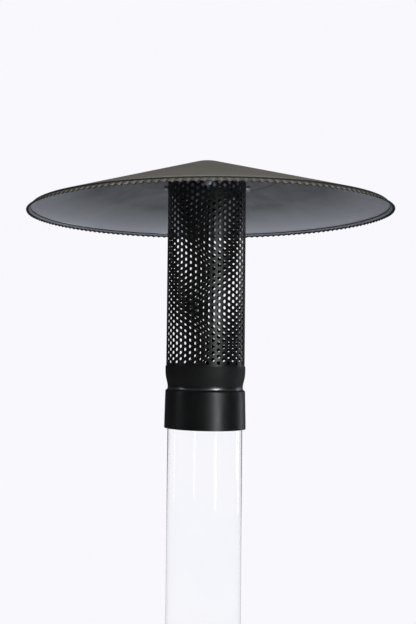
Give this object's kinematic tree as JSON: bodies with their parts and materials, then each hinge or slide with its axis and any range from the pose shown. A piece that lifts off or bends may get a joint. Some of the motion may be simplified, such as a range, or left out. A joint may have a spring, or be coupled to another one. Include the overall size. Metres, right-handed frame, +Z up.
{
  "type": "outdoor heater",
  "caption": "Compact gas patio heater: cylindrical housing with burner and gas cylinder, glass flame tube, perforated flame screen and cone reflector.",
  "frame": {"origin": "on the floor under the middle of the base", "axes": "+Z up along the glass tube, -Y towards the controls and the door, +X to the right seen from the front"},
  "size_m": [0.49, 0.49, 1.0223],
  "materials": {
    "black_paint": "satin black powder coat",
    "screen_paint": "heat-proof black paint on perforated steel",
    "bronze_paint": "bronze-grey anodised sheet",
    "steel": "brushed",
    "zinc": "zinc plated",
    "brass": "machined",
    "copper": "drawn copper",
    "rubber": "moulded",
    "gasket": "woven glass fibre",
    "ceramic": "glazed ceramic",
    "black_plastic": "fine spark texture",
    "glass": "clear borosilicate",
    "cylinder_paint": "gloss green enamel",
    "wire": "silicone sleeve"
  },
  "bodies": {
    "frame": {"base_plate": "black_paint", "housing_shell": "black_paint", "deck": "black_paint", "control_panel": "black_paint", "hinge_lower_housing_leaf": "black_paint", "hinge_upper_housing_leaf": "black_paint", "glass_socket": "black_paint", "collar": "black_paint", "screen": "screen_paint", "reflector": "bronze_paint", "mounting_plate": "bronze_paint", "mixing_tube": "steel", "burner_bowl": "steel", "burner_plate": "steel", "thermocouple": "steel", "tilt_pin": "steel", "hinge_lower_pin": "steel", "hinge_upper_pin": "steel", "partition_plate": "zinc", "cylinder_cradle": "zinc", "regulator": "zinc", "valve_bracket": "zinc", "burner_bracket": "zinc", "tilt_frame": "zinc", "socket_screw_1": "zinc", "socket_screw_2": "zinc", "socket_screw_3": "zinc", "screen_bolt_1": "zinc", "screen_bolt_2": "zinc", "screen_bolt_3": "zinc", "screen_bolt_4": "zinc", "reflector_stud": "zinc", "wing_nut": "zinc", "gas_valve": "brass", "injector": "brass", "supply_pipe": "copper", "feed_pipe": "copper", "thermocouple_lead": "copper", "foot_1": "rubber", "foot_2": "rubber", "foot_3": "rubber", "foot_4": "rubber", "lower_gasket": "gasket", "upper_gasket": "gasket", "electrode": "ceramic", "igniter_body": "black_plastic", "magnet_catch": "black_plastic", "glass_tube": "glass", "gas_cylinder": "cylinder_paint", "ignition_lead": "wire"},
    "stem_push": {"stem_collar": "brass"},
    "knob": {"valve_stem": "steel", "knob": "black_plastic"},
    "igniter_button": {"igniter_button": "black_plastic"},
    "door": {"door_panel": "black_paint", "hinge_lower_door_leaf": "black_paint", "hinge_upper_door_leaf": "black_paint", "door_pull": "steel", "door_pull_screw": "zinc"},
    "tilt_pendulum": {"tilt_pendulum": "brass"}
  },
  "joints": [
    {"name": "knob_push", "type": "slide", "parent": "frame", "child": "stem_push", "axis": [0, 1, 0], "range_m": [0, 0.003], "stiffness_N_per_m": 1500, "springref_m": -0.001},
    {"name": "knob_turn", "type": "hinge", "parent": "stem_push", "child": "knob", "pos_m": [-0.024, -0.12, 0.291], "axis": [0, -1, 0], "range_deg": [0, 210]},
    {"name": "igniter_press", "type": "slide", "parent": "frame", "child": "igniter_button", "axis": [0, 1, 0], "range_m": [0, 0.006], "stiffness_N_per_m": 600, "springref_m": -0.002},
    {"name": "door_hinge", "type": "hinge", "parent": "frame", "child": "door", "pos_m": [-0.08983, -0.07018, 0.13], "axis": [0, 0, -1], "range_deg": [0, 110]},
    {"name": "tilt_swing", "type": "hinge", "parent": "frame", "child": "tilt_pendulum", "pos_m": [-0.072, 0.01, 0.0466], "axis": [1, 0, 0], "range_deg": [-25, 25]}
  ]
}
